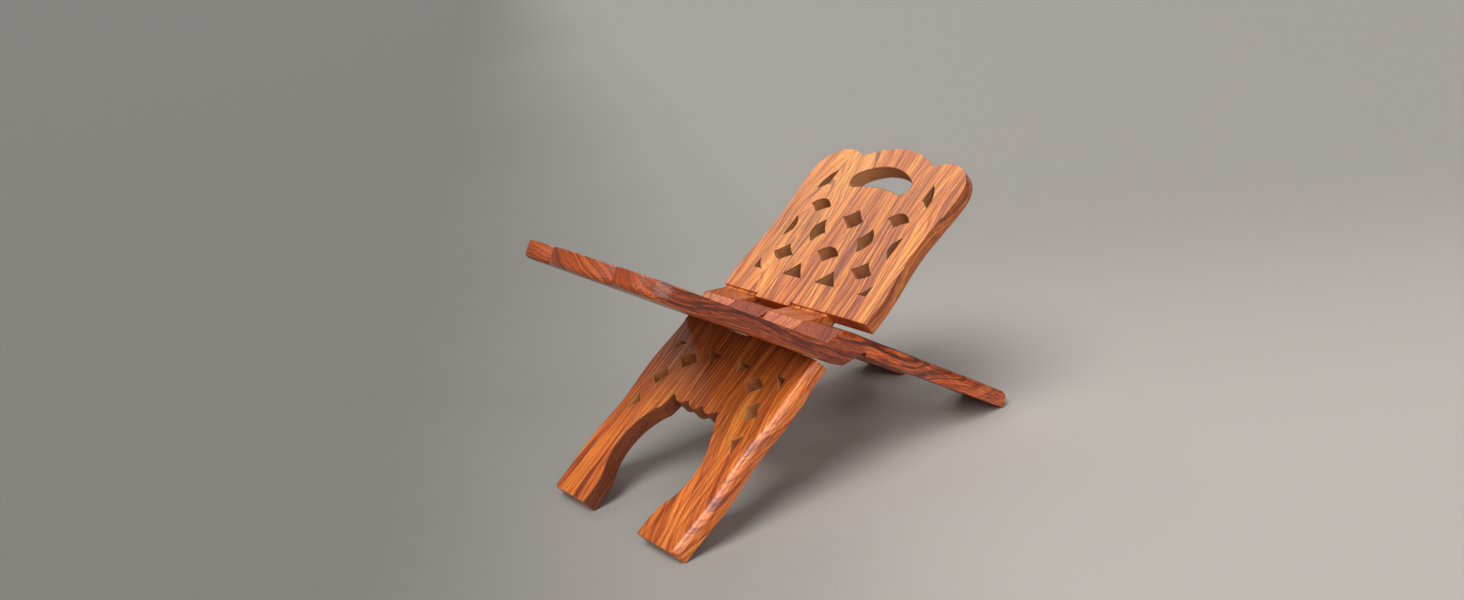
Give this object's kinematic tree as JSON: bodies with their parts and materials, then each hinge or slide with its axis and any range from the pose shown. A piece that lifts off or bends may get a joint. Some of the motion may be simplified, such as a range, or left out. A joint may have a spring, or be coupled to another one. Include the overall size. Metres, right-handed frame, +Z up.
{
  "type": "folding book stand",
  "caption": "Folding X-shaped book stand carved from one plank: two pierced interlocking leaves with a scalloped crest, hand slots and arched legs, turning on carved knuckles.",
  "frame": {"origin": "on the table under the middle of the hinge line, stand open", "axes": "+X along the hinge, +Y towards the rear leaf's book panel, +Z up"},
  "size_m": [0.1496, 0.2656, 0.1713],
  "materials": {
    "front_leaf_wood": "satin varnished rosewood, orange-brown with dark streaks",
    "rear_leaf_wood": "satin varnished rosewood, golden orange-brown with dark streaks"
  },
  "bodies": {
    "front_leaf": {"front_leaf": "front_leaf_wood"},
    "rear_leaf": {"rear_leaf": "rear_leaf_wood"}
  },
  "joints": [
    {"name": "fold", "type": "hinge", "parent": "front_leaf", "child": "rear_leaf", "pos_m": [0, 0, 0.08583], "axis": [1, 0, 0], "range_deg": [0, 111.4]}
  ]
}
